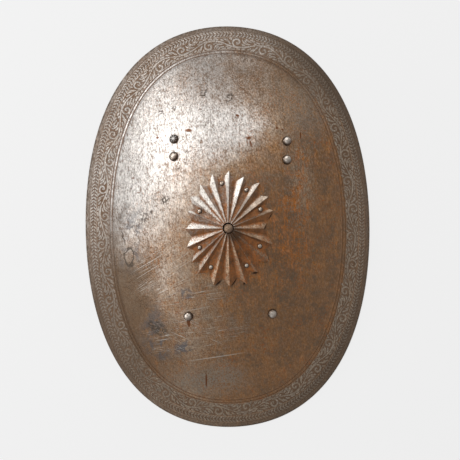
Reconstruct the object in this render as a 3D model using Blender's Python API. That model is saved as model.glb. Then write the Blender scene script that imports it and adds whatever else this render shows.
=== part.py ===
"""An oval steel buckler that lies on its rim, dome upwards.

Metres, +Z up. The origin is on the floor below the crown, +Y points to the shield's upper end
and +X to the bearer's left as the face is seen from in front.
"""

import math

import bmesh
import bpy
from mathutils import Vector

# The plate
LENGTH = 0.570
WIDTH = 0.404
DOME_HEIGHT = 0.088
PLATE_THICKNESS = 0.0018
SHOULDER = 0.038  # how far the oval's four shoulders swell past a true ellipse
DOME_POWER = 2.15  # 2 is a parabola, and more keeps the crown flatter
RIM_RISE = 0.0009  # height of the dome where it meets the outline, before the edge is rounded
EDGE_ROUND = 0.0012
EDGE_UNDERCUT = 0.0003

# The border's lines, as distances in from the edge
FIELD_GROOVE = 0.0398
BAND_GROOVE = 0.0358
BAND_LINE = 0.0160
EDGE_LINE = 0.0070
GROOVE_WIDTH = 0.0016
GROOVE_DEPTH = 0.0006
LINE_WIDTH = 0.0012
ETCH_DEPTH = 0.0003
ETCH_WALL = 0.0004

# The fluted rosette
ROSETTE_AT = (0.0008, -0.0022)  # it sits a little low of the shield's centre
ROSETTE_SHEET = 0.0012
ROSETTE_HOLE = 0.0095
NOTCH_SHARE = 0.85  # how far out a notch reaches, beside the tips on either side
RIDGE_HEIGHT = 0.0050
RIDGE_AT_HOLE = 0.0011
RIDGE_AT_TIP = 0.0026
CONE_RISE = 0.0085
CONE_FOOT = 0.66  # share of the way out where the valleys come down onto the plate
SEAT_HALF_WIDTH = 0.0054  # the flat that is hammered into a valley for its rivet
SEAT_START = 0.7  # share of the way out where that flat has its full width
# Each petal was cut by hand: its direction in degrees from +X, and how far out its tip reaches
PETAL_TIPS = (
    (-1.0, 0.0640),
    (20.9, 0.0658),
    (37.6, 0.0695),
    (54.8, 0.0757),
    (72.4, 0.0735),
    (88.4, 0.0785),
    (105.6, 0.0772),
    (121.8, 0.0711),
    (139.7, 0.0678),
    (157.2, 0.0597),
    (180.6, 0.0583),
    (204.5, 0.0623),
    (222.7, 0.0678),
    (236.0, 0.0747),
    (255.3, 0.0815),
    (271.1, 0.0808),
    (287.5, 0.0812),
    (303.5, 0.0732),
    (319.7, 0.0727),
    (339.4, 0.0645),
)
BROKEN_REACH = 0.0490  # the first petal has lost its tip and ends here

# The rosette's own rivets: the petal whose valley each sits in, and its share of the way to the notch
ROSETTE_RIVETS = {
    "rosette_rivet_right_high": (1, 0.88),
    "rosette_rivet_top_right": (3, 0.91),
    "rosette_rivet_top_left": (5, 0.93),
    "rosette_rivet_left_high": (8, 0.81),
    "rosette_rivet_left_low": (11, 0.83),
    "rosette_rivet_bottom_left": (13, 0.87),
    "rosette_rivet_bottom_right": (16, 0.86),
    "rosette_rivet_right_low": (18, 0.84),
}
ROSETTE_RIVET_HEAD = 0.0034
ROSETTE_RIVET_DOME = 0.0021
ROSETTE_RIVET_SHANK = 0.0015
ROSETTE_RIVET_TAIL = 0.0024

# The strap rivets, at their places on the plate
STRAP_RIVETS = {
    "strap_rivet_upper_left": (-0.0732, 0.0985),
    "strap_rivet_upper_right": (0.0845, 0.1180),
    "strap_rivet_middle_right": (0.0839, 0.0918),
    "strap_rivet_lower_left": (-0.0562, -0.1239),
    "strap_rivet_lower_right": (0.0607, -0.1221),
}
DAISY_RIVET_AT = (-0.0726, 0.1228)
STRAP_RIVET_HEAD = 0.0067
STRAP_RIVET_DOME = 0.0042
STRAP_RIVET_SHANK = 0.0025
STRAP_RIVET_TAIL = 0.0046
TAIL_HEIGHT = 0.0016
DAISY_PETALS = 8
DAISY_CUT = 0.0008

# The stud that is left of the spike
STUD_RADIUS = 0.0065
STUD_HEIGHT = 0.0230
STUD_SHANK = 0.0048
STUD_TAIL = 0.0080
STUD_TAIL_HEIGHT = 0.0030

GAP = 0.0003  # clearance between pieces that rest on or pass through each other
FACET_ROOM = 0.0004  # further room for tails, as the lining's flat facets hang below its curve

# How finely the faces are cut
PLATE_COLUMNS = 64
FIELD_RINGS = 9
LINING_RINGS = 8
ROSETTE_RINGS = 6
STRAP_RIVET_SIDES = 12
ROSETTE_RIVET_SIDES = 8
STUD_SIDES = 16
BEND_STEP = 1e-5


def clear_scene():
    for obj in list(bpy.data.objects):
        bpy.data.objects.remove(obj)


def steel(name, colour, roughness, metallic):
    material = bpy.data.materials.new(name)
    material.use_nodes = True
    shader = material.node_tree.nodes["Principled BSDF"]
    shader.inputs["Base Color"].default_value = (*colour, 1)
    shader.inputs["Roughness"].default_value = roughness
    shader.inputs["Metallic"].default_value = metallic
    return material


def oval(turn, inset=0.0):
    """A point in plan, a distance in from the shield's edge, and the way out from there."""
    half_width, half_length = WIDTH / 2, LENGTH / 2

    def edge(angle):
        swell = 1 + SHOULDER * math.sin(2 * angle) ** 2
        return Vector((half_width * math.cos(angle) * swell, half_length * math.sin(angle) * swell))

    along = edge(turn + BEND_STEP) - edge(turn - BEND_STEP)
    outward = Vector((along.y, -along.x)).normalized()
    return edge(turn) - outward * inset, outward


def reach_of(x, y):
    """0 at the crown and 1 at the edge, along the same family of ovals as the outline."""
    across, up = 2 * x / WIDTH, 2 * y / LENGTH
    straight = math.hypot(across, up)
    swell = SHOULDER * math.sin(2 * math.atan2(up, across)) ** 2
    reach = straight
    for _ in range(6):
        reach = straight / (1 + swell * reach**2)
    return reach


def dome(x, y):
    """Height of the plate's outer face, without the border's lines."""
    return RIM_RISE + (DOME_HEIGHT - RIM_RISE) * (1 - reach_of(x, y) ** DOME_POWER)


def dome_normal(x, y):
    step = 10 * BEND_STEP
    rise_x = (dome(x + step, y) - dome(x - step, y)) / (2 * step)
    rise_y = (dome(x, y + step) - dome(x, y - step)) / (2 * step)
    return Vector((-rise_x, -rise_y, 1)).normalized()


def on_dome(x, y, lift=0.0):
    """A point at a height above the outer face, measured square to it."""
    return Vector((x, y, dome(x, y))) + dome_normal(x, y) * lift


def lining(x, y):
    """Height of the plate's inner face."""
    return dome(x, y) - PLATE_THICKNESS / dome_normal(x, y).z


def loft(name, rings, first_pole=None, last_pole=None):
    """A closed skin through rings of equal count, ending in points or in flat faces."""
    mesh = bmesh.new()
    loops = [[mesh.verts.new(point) for point in ring] for ring in rings]
    count = len(loops[0])
    for near, far in zip(loops, loops[1:]):
        for k in range(count):
            after = (k + 1) % count
            mesh.faces.new((near[k], near[after], far[after], far[k]))
    for pole, loop in ((first_pole, loops[0]), (last_pole, loops[-1])):
        if pole is None:
            mesh.faces.new(loop)
            continue
        tip = mesh.verts.new(pole)
        for k in range(count):
            mesh.faces.new((loop[k], loop[(k + 1) % count], tip))
    return finish_mesh(name, mesh)


def finish_mesh(name, mesh):
    bmesh.ops.recalc_face_normals(mesh, faces=mesh.faces)
    data = bpy.data.meshes.new(name)
    mesh.to_mesh(data)
    mesh.free()
    obj = bpy.data.objects.new(name, data)
    bpy.context.scene.collection.objects.link(obj)
    return obj


def dress(obj, material, sharp_degrees=35):
    obj.data.materials.append(material)
    obj.data.shade_smooth()
    obj.data.set_sharp_from_angle(angle=math.radians(sharp_degrees))
    return obj


def turned(name, profile, sides, flute=None):
    """Turns a profile of (radius, height) pairs about +Z. It starts at a point and ends in a flat face."""
    rings = []
    for radius, height in profile[1:]:
        ring = []
        for k in range(sides):
            angle = math.tau * k / sides
            cut = flute(k, radius, height) if flute else 0.0
            ring.append((radius * math.cos(angle), radius * math.sin(angle), height - cut))
        rings.append(ring)
    return loft(name, rings, first_pole=(0, 0, profile[0][1]))


def border_steps():
    """The lines of the border, as (distance in from the edge, depth cut) from the field outwards."""
    half_groove, half_line = GROOVE_WIDTH / 2, LINE_WIDTH / 2
    steps = []
    for groove in (FIELD_GROOVE, BAND_GROOVE):
        steps += [(groove + half_groove, 0.0), (groove, GROOVE_DEPTH), (groove - half_groove, 0.0)]
    inner_edge = BAND_GROOVE - half_groove
    middle = (inner_edge + BAND_LINE) / 2
    steps += [(inner_edge - ETCH_WALL, ETCH_DEPTH), (middle, ETCH_DEPTH)]
    for line in (BAND_LINE, EDGE_LINE):
        steps += [(line + half_line + ETCH_WALL, ETCH_DEPTH), (line + half_line, 0.0)]
        if line == BAND_LINE:
            steps += [(line - half_line, 0.0), (line - half_line - ETCH_WALL, ETCH_DEPTH)]
    return steps


def edge_arc(turn):
    """Three points that round the outer face over into the edge."""
    start, outward = oval(turn, EDGE_ROUND)
    slope_point = start + outward * BEND_STEP
    fall = (dome(start.x, start.y) - dome(slope_point.x, slope_point.y)) / BEND_STEP
    lean = math.atan(fall)
    start = oval(turn, EDGE_ROUND * (1 - math.sin(lean)))[0]
    centre_height = dome(start.x, start.y) - EDGE_ROUND * math.cos(lean)
    points = []
    for share in (0.0, 0.5, 1.0):
        angle = lean + (math.pi / 2 - lean) * share
        plan = oval(turn, EDGE_ROUND * (1 - math.sin(angle)))[0]
        points.append((plan.x, plan.y, centre_height + EDGE_ROUND * math.cos(angle)))
    return points


def lining_inset(turn):
    """How far in from the edge the inner face comes down to the floor."""
    low, high = EDGE_UNDERCUT, FIELD_GROOVE
    for _ in range(40):
        middle = (low + high) / 2
        plan = oval(turn, middle)[0]
        if lining(plan.x, plan.y) < 0:
            low = middle
        else:
            high = middle
    return high


def plate():
    turns = [math.tau * k / PLATE_COLUMNS for k in range(PLATE_COLUMNS)]
    steps = border_steps()
    field_edge = steps[0][0]
    rings = []
    for k in range(1, FIELD_RINGS):
        share = k / FIELD_RINGS
        plans = [oval(turn, field_edge)[0] * share for turn in turns]
        rings.append([(p.x, p.y, dome(p.x, p.y)) for p in plans])
    for inset, cut in steps:
        plans = [oval(turn, inset)[0] for turn in turns]
        rings.append([on_dome(p.x, p.y, -cut) for p in plans])
    arcs = [edge_arc(turn) for turn in turns]
    rings += [[arc[k] for arc in arcs] for k in range(3)]
    rings.append([(*oval(turn, EDGE_UNDERCUT)[0], 0.0) for turn in turns])
    inner = [oval(turn, lining_inset(turn))[0] for turn in turns]
    rings.append([(p.x, p.y, 0.0) for p in inner])
    for k in range(LINING_RINGS - 1, 0, -1):
        plans = [p * (k / LINING_RINGS) for p in inner]
        rings.append([(p.x, p.y, lining(p.x, p.y)) for p in plans])
    crown = (0.0, 0.0, DOME_HEIGHT)
    return loft("shield_plate", rings, first_pole=crown, last_pole=(0.0, 0.0, lining(0.0, 0.0)))


def tip(petal):
    """A petal's direction in radians and its reach, before any break."""
    turns, place = divmod(petal, len(PETAL_TIPS))
    degrees, reach = PETAL_TIPS[place]
    return math.radians(degrees) + math.tau * turns, reach


def notch(petal):
    """Direction and reach of the notch that follows a petal."""
    angle, reach = tip(petal)
    next_angle, next_reach = tip(petal + 1)
    return (angle + next_angle) / 2, NOTCH_SHARE * (reach + next_reach) / 2


def rosette_plan(angle, reach, share):
    """A place in plan, at a share of the way from the hole out to a reach."""
    out = ROSETTE_HOLE + (reach - ROSETTE_HOLE) * share
    return Vector(ROSETTE_AT) + Vector((math.cos(angle), math.sin(angle))) * out


def cone_lift(share):
    """Height of a valley's floor over the plate, by its share of the way from the hole to the notch."""
    return CONE_RISE * max(0.0, 1 - share / CONE_FOOT) ** 1.4


def ridge_lift(share):
    """Height of a ridge over the valleys beside it."""
    full = 0.7
    if share < full:
        swing = math.sin(math.pi / 2 * share / full)
        return RIDGE_AT_HOLE + (RIDGE_HEIGHT - RIDGE_AT_HOLE) * swing
    return RIDGE_HEIGHT + (RIDGE_AT_TIP - RIDGE_HEIGHT) * (share - full) / (1 - full)


def rosette_ring(share, lift):
    """One ring of the rosette: each petal's ridge, then the floor of the valley that follows it."""
    height = GAP + cone_lift(share) + lift
    riveted = {petal for petal, _ in ROSETTE_RIVETS.values()}
    ring = []
    for petal in range(len(PETAL_TIPS)):
        angle, reach = tip(petal)
        if petal == 0:
            reach = BROKEN_REACH
        ridge = rosette_plan(angle, reach, share)
        floor = rosette_plan(*notch(petal), share)
        ring.append(on_dome(ridge.x, ridge.y, height + ridge_lift(share)))
        plans = [floor]
        if petal in riveted:
            next_ridge = rosette_plan(*tip(petal + 1), share)
            flat = SEAT_HALF_WIDTH * min(1, share / SEAT_START)
            before = floor + (ridge - floor).normalized() * flat
            after = floor + (next_ridge - floor).normalized() * flat
            plans = [before, floor, after]
        ring += [on_dome(plan.x, plan.y, height) for plan in plans]
    return ring


def rosette():
    shares = [k / ROSETTE_RINGS for k in range(ROSETTE_RINGS + 1)]
    top = [rosette_ring(share, ROSETTE_SHEET) for share in shares]
    under = [rosette_ring(share, 0.0) for share in reversed(shares)]
    rings = top + under
    mesh = bmesh.new()
    loops = [[mesh.verts.new(point) for point in ring] for ring in rings]
    count = len(loops[0])
    for near, far in zip(loops, loops[1:] + loops[:1]):
        for k in range(count):
            after = (k + 1) % count
            mesh.faces.new((near[k], near[after], far[after], far[k]))
    return finish_mesh("rosette", mesh)


def rivet_profile(head, dome_height, shank, tail, grip, cap_rings):
    """A domed head on the outer face, a shank through what it grips, and a tail hammered flat behind."""
    brim = 0.12 * dome_height
    profile = []
    for k in range(cap_rings + 1):
        angle = math.pi / 2 * k / cap_rings
        profile.append((head * math.sin(angle), brim + (dome_height - brim) * math.cos(angle)))
    foot = -grip - GAP - FACET_ROOM
    profile += [
        (head, 0.0),
        (shank, 0.0),
        (shank, foot),
        (tail, foot),
        (0.8 * tail, foot - TAIL_HEIGHT),
    ]
    return profile


def seat(obj, x, y, lift):
    """Stands an object on the dome at a place in plan, square to the plate."""
    normal = dome_normal(x, y)
    obj.rotation_mode = "QUATERNION"
    obj.rotation_quaternion = Vector((0, 0, 1)).rotation_difference(normal)
    obj.location = on_dome(x, y, lift)
    return obj


def strap_rivets(material):
    grip = PLATE_THICKNESS + GAP
    profile = rivet_profile(
        STRAP_RIVET_HEAD, STRAP_RIVET_DOME, STRAP_RIVET_SHANK, STRAP_RIVET_TAIL, grip, 4
    )
    for name, (x, y) in STRAP_RIVETS.items():
        rivet = turned(name, profile, STRAP_RIVET_SIDES)
        dress(seat(rivet, x, y, GAP), material)


def daisy_rivet(material):
    """The replacement rivet, whose head is cut with petals round a button."""
    grip = PLATE_THICKNESS + GAP
    profile = rivet_profile(
        STRAP_RIVET_HEAD, STRAP_RIVET_DOME, STRAP_RIVET_SHANK, STRAP_RIVET_TAIL, grip, 4
    )
    button = 0.45 * STRAP_RIVET_HEAD

    def cut(k, radius, height):
        on_head = height > 0.3 * STRAP_RIVET_DOME and radius > button
        return DAISY_CUT if on_head and k % 2 else 0.0

    rivet = turned("strap_rivet_daisy", profile, 2 * DAISY_PETALS, cut)
    dress(seat(rivet, *DAISY_RIVET_AT, GAP), material)


def rosette_rivet_places():
    return {
        name: rosette_plan(*notch(petal), share)
        for name, (petal, share) in ROSETTE_RIVETS.items()
    }


def rosette_rivets(material):
    grip = PLATE_THICKNESS + GAP + ROSETTE_SHEET + GAP
    profile = rivet_profile(
        ROSETTE_RIVET_HEAD, ROSETTE_RIVET_DOME, ROSETTE_RIVET_SHANK, ROSETTE_RIVET_TAIL, grip, 3
    )
    for name, place in rosette_rivet_places().items():
        rivet = turned(name, profile, ROSETTE_RIVET_SIDES)
        dress(seat(rivet, place.x, place.y, GAP + ROSETTE_SHEET + GAP), material)


def stud(material):
    """A round stub with a worn end, shouldered on the plate and hammered over behind."""
    crown = 0.55 * STUD_RADIUS
    profile = []
    for k in range(4):
        angle = math.pi / 2 * k / 3
        profile.append(
            (STUD_RADIUS * math.sin(angle), STUD_HEIGHT - crown + crown * math.cos(angle))
        )
    foot = -PLATE_THICKNESS - 2 * GAP - FACET_ROOM
    profile += [
        (STUD_RADIUS, 0.0),
        (STUD_SHANK, 0.0),
        (STUD_SHANK, foot),
        (STUD_TAIL, foot),
        (0.75 * STUD_TAIL, foot - STUD_TAIL_HEIGHT),
    ]
    dress(seat(turned("spike_stud", profile, STUD_SIDES), *ROSETTE_AT, GAP), material)


def drill(obj, name, places, above):
    """Cuts round holes square to the plate, each given as (x, y, radius)."""
    mesh = bmesh.new()
    depth = 2 * (PLATE_THICKNESS + above)
    for x, y, radius in places:
        turn = Vector((0, 0, 1)).rotation_difference(dome_normal(x, y)).to_matrix().to_4x4()
        turn.translation = on_dome(x, y, above / 2)
        bmesh.ops.create_cone(
            mesh,
            cap_ends=True,
            segments=ROSETTE_RIVET_SIDES,
            radius1=radius,
            radius2=radius,
            depth=depth,
            matrix=turn,
        )
    cutter = finish_mesh(name, mesh)
    cutter.hide_render = True
    cutter.display_type = "WIRE"
    modifier = obj.modifiers.new(name, "BOOLEAN")
    modifier.operation = "DIFFERENCE"
    modifier.object = cutter


def round_hole(radius):
    """Radius of a faceted hole whose flats clear a round shank by the gap."""
    return (radius + GAP) / math.cos(math.pi / ROSETTE_RIVET_SIDES)


def main():
    clear_scene()
    plate_steel = steel("plate_steel", (0.33, 0.26, 0.21), 0.42, 0.9)
    rosette_steel = steel("rosette_steel", (0.36, 0.25, 0.18), 0.45, 0.85)
    rivet_steel = steel("rivet_steel", (0.52, 0.47, 0.42), 0.3, 1.0)
    daisy_steel = steel("daisy_steel", (0.16, 0.14, 0.12), 0.4, 0.9)
    stud_iron = steel("stud_iron", (0.17, 0.12, 0.09), 0.6, 0.7)

    body = plate()
    flower = rosette()
    small = [
        (*place, round_hole(ROSETTE_RIVET_SHANK)) for place in rosette_rivet_places().values()
    ]
    large = [
        (x, y, round_hole(STRAP_RIVET_SHANK)) for x, y in [*STRAP_RIVETS.values(), DAISY_RIVET_AT]
    ]
    centre = (*ROSETTE_AT, round_hole(STUD_SHANK))
    drill(body, "plate_drill", [*small, *large, centre], PLATE_THICKNESS)
    drill(flower, "rosette_drill", small, 2 * (ROSETTE_SHEET + GAP))
    dress(body, plate_steel)
    dress(flower, rosette_steel, 20)
    strap_rivets(rivet_steel)
    daisy_rivet(daisy_steel)
    rosette_rivets(rivet_steel)
    stud(stud_iron)


main()
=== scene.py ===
"""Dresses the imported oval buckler: etched border, fluted rosette, rivets and old steel."""

import math

import bpy
import numpy as np
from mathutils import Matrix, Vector

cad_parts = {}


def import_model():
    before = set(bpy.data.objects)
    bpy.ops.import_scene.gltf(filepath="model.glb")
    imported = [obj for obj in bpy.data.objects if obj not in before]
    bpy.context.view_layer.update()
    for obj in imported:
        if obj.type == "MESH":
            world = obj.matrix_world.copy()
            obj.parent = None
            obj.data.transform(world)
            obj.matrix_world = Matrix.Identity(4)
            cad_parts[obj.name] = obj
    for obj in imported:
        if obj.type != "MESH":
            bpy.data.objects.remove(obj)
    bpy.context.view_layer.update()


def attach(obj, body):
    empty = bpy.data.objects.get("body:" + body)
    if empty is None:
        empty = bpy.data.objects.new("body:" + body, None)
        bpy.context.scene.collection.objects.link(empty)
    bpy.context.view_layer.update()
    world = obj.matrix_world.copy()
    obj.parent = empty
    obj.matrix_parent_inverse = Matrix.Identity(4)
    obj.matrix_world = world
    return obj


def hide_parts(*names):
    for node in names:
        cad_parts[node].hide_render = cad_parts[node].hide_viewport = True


# The plate, with the same sizes as its solid
HALF_LENGTH = 0.285
HALF_WIDTH = 0.202
DOME_HEIGHT = 0.088
PLATE_THICKNESS = 0.0018
SHOULDER = 0.038
DOME_POWER = 2.15
RIM_RISE = 0.0009
PLATE_SIZES = {
    "Half Width": HALF_WIDTH, "Half Length": HALF_LENGTH, "Shoulder": SHOULDER, "Dome Height": DOME_HEIGHT,
    "Dome Power": DOME_POWER, "Rim Rise": RIM_RISE
}

# The border, as distances in from the edge
FIELD_START = 0.0408
FIELD_GROOVE = 0.0398
FILLET = 0.0378
BAND_GROOVE = 0.0358
BAND_LINE = 0.0160
EDGE_LINE = 0.0070
GROOVE_DEPTH = 0.0006
LINE_WIDTH = 0.0011
ETCH_DEPTH = 0.00030
GROOVE_HALF_WIDTH = 0.0009
PLATE_COLUMNS = 384
FIELD_RINGS = 70
LINING_RINGS = 34
EDGE_ROUND = 0.0006
UNDERCUT = 0.0003
HAMMERED = 0.0007
SLOPE_STEP = 0.0002

# The foliage and the leaf row
SCROLL_WAVES = 18
LEAF_PITCH = 0.0046
STROKE_RISE = 0.00042
STROKE_FOOT = 0.00045
SCROLL_SWING = 4.8
ROW_LEAF_LENGTH = 6.6
ROW_LEAF_WIDTH = 0.0019
HAND_WOBBLE = 0.0022
EVEN_TERMS = {"Even 2": 2, "Even 4": 4, "Even 6": 6}
LEAF_CLEARANCE = 2.1

# Leaves that flow on with the scroll, as where they start, heading, length and bends
FLOWING_LEAVES = (
    (2.0, -1.7, 16, 17.5, -60, -60),
    (0.4, -4.9, 8, 13.5, -55, -40),
    (-1.5, -7.8, 10, 7.0, -30, 0),
    (9.8, 1.0, 8, 7.5, -50, -20),
    (30.2, 0.8, -35, 12.0, -60, 60),
    (29.4, -5.2, -72, 6.0, 30, 60),
    (-2.2, 3.4, 75, 7.0, -60, 0),
    (1.6, 3.1, 62, 6.8, -70, 20),
    (8.2, 5.1, 42, 8.0, -60, 20),
    (16.0, 7.1, 16, 7.0, -32, 0),
    (24.0, 7.3, 18, 6.0, -40, 0),
    (29.3, 5.0, 36, 7.2, -60, 0),
    (33.4, 2.9, 30, 5.4, -50, 0)
)

# The rosette
ROSETTE_AT = (0.0008, -0.0022)
ROSETTE_SHEET = 0.0012
ROSETTE_HOLE = 0.0076
NOTCH_SHARE = 0.85
RIDGE_HEIGHT = 0.0036
RIDGE_AT_HOLE = 0.0008
RIDGE_AT_TIP = 0.0024
CONE_RISE = 0.0085
CONE_FOOT = 0.66
SEAT_HALF_WIDTH = 0.0050
GAP = 0.0003
PETAL_TIPS = (
    (-1.0, 0.0640), (20.9, 0.0658), (37.6, 0.0695), (54.8, 0.0757), (72.4, 0.0735), (88.4, 0.0785),
    (105.6, 0.0772), (121.8, 0.0711), (139.7, 0.0678), (157.2, 0.0597), (180.6, 0.0583), (204.5, 0.0623),
    (222.7, 0.0678), (236.0, 0.0747), (255.3, 0.0815), (271.1, 0.0808), (287.5, 0.0812), (303.5, 0.0732),
    (319.7, 0.0727), (339.4, 0.0645)
)
BROKEN_REACH = 0.0490
ROSETTE_RIVETS = {
    "rosette_rivet_right_high": (1, 0.88), "rosette_rivet_top_right": (3, 0.91),
    "rosette_rivet_top_left": (5, 0.93), "rosette_rivet_left_high": (8, 0.81),
    "rosette_rivet_left_low": (11, 0.83), "rosette_rivet_bottom_left": (13, 0.87),
    "rosette_rivet_bottom_right": (16, 0.86), "rosette_rivet_right_low": (18, 0.84)
}
FLANK_STEPS = 9
RIDGE_SPREAD = 0.05
VALLEY_HALF_WIDTH = 0.0004
DENTS = 0.00022
AWAY_FROM_KEY = math.radians(-43)
ROSETTE_RINGS = 40

# Rivets and stud
STRAP_RIVETS = {
    "strap_rivet_upper_left": (-0.0732, 0.0985), "strap_rivet_upper_right": (0.0845, 0.1180),
    "strap_rivet_middle_right": (0.0839, 0.0918), "strap_rivet_lower_left": (-0.0562, -0.1239),
    "strap_rivet_lower_right": (0.0607, -0.1221)
}
DAISY_RIVET_AT = (-0.0726, 0.1228)
STRAP_RIVET = {"head": 0.0067, "dome": 0.0042, "shank": 0.0025, "tail": 0.0046}
ROSETTE_RIVET = {"head": 0.0034, "dome": 0.0021, "shank": 0.0015, "tail": 0.0024}
TAIL_HEIGHT = 0.0016
STUD_RADIUS = 0.0065
STUD_HEIGHT = 0.0230
STUD_WEAR = 0.0006
STUD_SHIFT = 0.0004

# The photograph's framing
PICTURE_WIDTH = 460
CAMERA_DISTANCE = 3.0
PIXELS_PER_METRE = 702.8
PICTURE_CENTRE = (0.0034, -0.0048)
CAMERA_ROLL = math.radians(-0.85)
SENSOR_WIDTH = 36.0

# The stage: each light as direction, distance, size and power
FLOOR_REACH = 6
FLOOR_GLOW = 0.715
WORLD_GLOW = 0.42
AIM_HEIGHT = 0.05
LIGHTS = {
    "top_panel": ((0.25, 0.78, 0.57), 2.0, (1.3, 1.4), 5.5),
    "key": ((-0.55, 0.46, 0.70), 2.0, (1.5, 1.3), 8.6),
    "left_panel": ((-0.81, -0.26, 0.53), 2.0, (1.3, 1.4), 6.0),
    "spark": ((-0.60, 0.45, 0.66), 2.0, (0.25, 0.25), 2.2),
    "overhead": ((-0.1, 0.15, 1.0), 3.4, (2.6, 2.6), 7)
}


class Wire:
    """A value in a node tree that can be used in plain arithmetic."""

    def __init__(self, socket):
        self.socket = socket
        self.tree = socket.id_data

    def math(self, operation, *others):
        return made(self.tree, "ShaderNodeMath", dict(enumerate((self, *others))), operation=operation)

    def __add__(self, other):
        return self.math("ADD", other)

    def __sub__(self, other):
        return self.math("SUBTRACT", other)

    def __rsub__(self, other):
        return (self * -1) + other

    def __mul__(self, other):
        return self.math("MULTIPLY", other)

    def __truediv__(self, other):
        return self.math("DIVIDE", other)

    def __rtruediv__(self, other):
        return self**-1 * other

    def __pow__(self, other):
        return self.math("POWER", other)

    __radd__ = __add__
    __rmul__ = __mul__

    def sin(self):
        return self.math("SINE")

    def cos(self):
        return self.math("COSINE")

    def root(self):
        return self.math("SQRT")

    def above(self, floor):
        return self.math("MAXIMUM", floor)

    def below(self, ceiling):
        return self.math("MINIMUM", ceiling)

    def clear(self, low, high, bottom=0.0, top=1.0):
        """Takes low..high smoothly to bottom..top and holds it there outside."""
        values = dict(enumerate((self, low, high, bottom, top)))
        return made(self.tree, "ShaderNodeMapRange", values, interpolation_type="SMOOTHSTEP")


def feed(socket, value):
    if isinstance(value, Wire):
        socket.id_data.links.new(value.socket, socket)
    else:
        socket.default_value = value


def place(tree, kind, inputs=None, **settings):
    node = tree.nodes.new(kind)
    for name, value in settings.items():
        setattr(node, name, value)
    for name, value in (inputs or {}).items():
        feed(node.inputs[name], value)
    return node


def made(tree, kind, inputs=None, **settings):
    """The first output of a new node."""
    return Wire(place(tree, kind, inputs, **settings).outputs[0])


def tree_of(values):
    """The tree that the first wire among some values is in."""
    return next(value.tree for value in values if isinstance(value, Wire))


def joined(x, y, z=0.0):
    return made(tree_of((x, y, z)), "ShaderNodeCombineXYZ", {"X": x, "Y": y, "Z": z})


def parted(vector):
    node = place(vector.tree, "ShaderNodeSeparateXYZ", {"Vector": vector})
    return [Wire(socket) for socket in node.outputs]


SOCKETS = {
    "float": "NodeSocketFloat", "int": "NodeSocketInt", "vector": "NodeSocketVector",
    "colour": "NodeSocketColor", "geometry": "NodeSocketGeometry", "material": "NodeSocketMaterial",
    "object": "NodeSocketObject"
}


def new_group(name, kind, inputs, outputs):
    """A node group with named sockets, its inputs as wires, and its output node."""
    tree = bpy.data.node_groups.new(name, kind)
    for direction, sockets in (("INPUT", inputs), ("OUTPUT", outputs)):
        for label, what in sockets.items():
            tree.interface.new_socket(label, in_out=direction, socket_type=SOCKETS[what])
    entry = tree.nodes.new("NodeGroupInput")
    wires = {label: Wire(entry.outputs[label]) for label in inputs}
    return tree, wires, tree.nodes.new("NodeGroupOutput")


def use_group(group, inputs):
    tree = tree_of(inputs.values())
    kind = "GeometryNodeGroup" if tree.bl_idname == "GeometryNodeTree" else "ShaderNodeGroup"
    node = place(tree, kind, inputs, node_tree=group)
    return {socket.name: Wire(socket) for socket in node.outputs}


# Geometry node groups

SIZE_SOCKETS = dict.fromkeys(PLATE_SIZES, "float")


def mesh_group(name, inputs):
    """A group that reshapes the mesh it is given, with the plate's sizes among its inputs."""
    sockets = {"Geometry": "geometry", **inputs, "Material": "material", **SIZE_SOCKETS}
    tree, at, out = new_group(name, "GeometryNodeTree", sockets, {"Geometry": "geometry"})
    return tree, at, out, {size: at[size] for size in PLATE_SIZES}


def dome_height_group():
    """Height of the dome over a place in plan."""
    tree, at, out = new_group(
        "dome_height", "GeometryNodeTree", {"X": "float", "Y": "float", **SIZE_SOCKETS}, {"Height": "float"}
    )
    across = at["X"] / at["Half Width"]
    up = at["Y"] / at["Half Length"]
    square = (across * across + up * up).above(1e-9)
    straight = square.root()
    twist = (across * up * 2) / square
    swell = at["Shoulder"] * twist * twist
    reach = straight
    for _ in range(4):
        reach = straight / (1 + swell * reach * reach)
    rise = at["Dome Height"] - at["Rim Rise"]
    feed(out.inputs["Height"], at["Rim Rise"] + rise * (1 - reach ** at["Dome Power"]))
    return tree


def on_dome_group(height_group):
    """The point at a lift square to the dome over a place in plan, and the way out from there."""
    tree, at, out = new_group(
        "on_dome", "GeometryNodeTree",
        {"X": "float", "Y": "float", "Lift": "float", "Drop": "float", **SIZE_SOCKETS},
        {"Position": "vector", "Normal": "vector"}
    )
    sizes = {name: at[name] for name in PLATE_SIZES}

    def height(x, y):
        return use_group(height_group, {"X": x, "Y": y, **sizes})["Height"]

    x, y, step = at["X"], at["Y"], SLOPE_STEP
    lean_x = (height(x - step, y) - height(x + step, y)) / (2 * step)
    lean_y = (height(x, y - step) - height(x, y + step)) / (2 * step)
    size = (1 + lean_x * lean_x + lean_y * lean_y).root()
    lift = at["Lift"] / size
    top = height(x, y) + lift - at["Drop"]
    feed(out.inputs["Position"], joined(x + lean_x * lift, y + lean_y * lift, top.above(0.0)))
    feed(out.inputs["Normal"], joined(lean_x / size, lean_y / size, 1 / size))
    return tree


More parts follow.
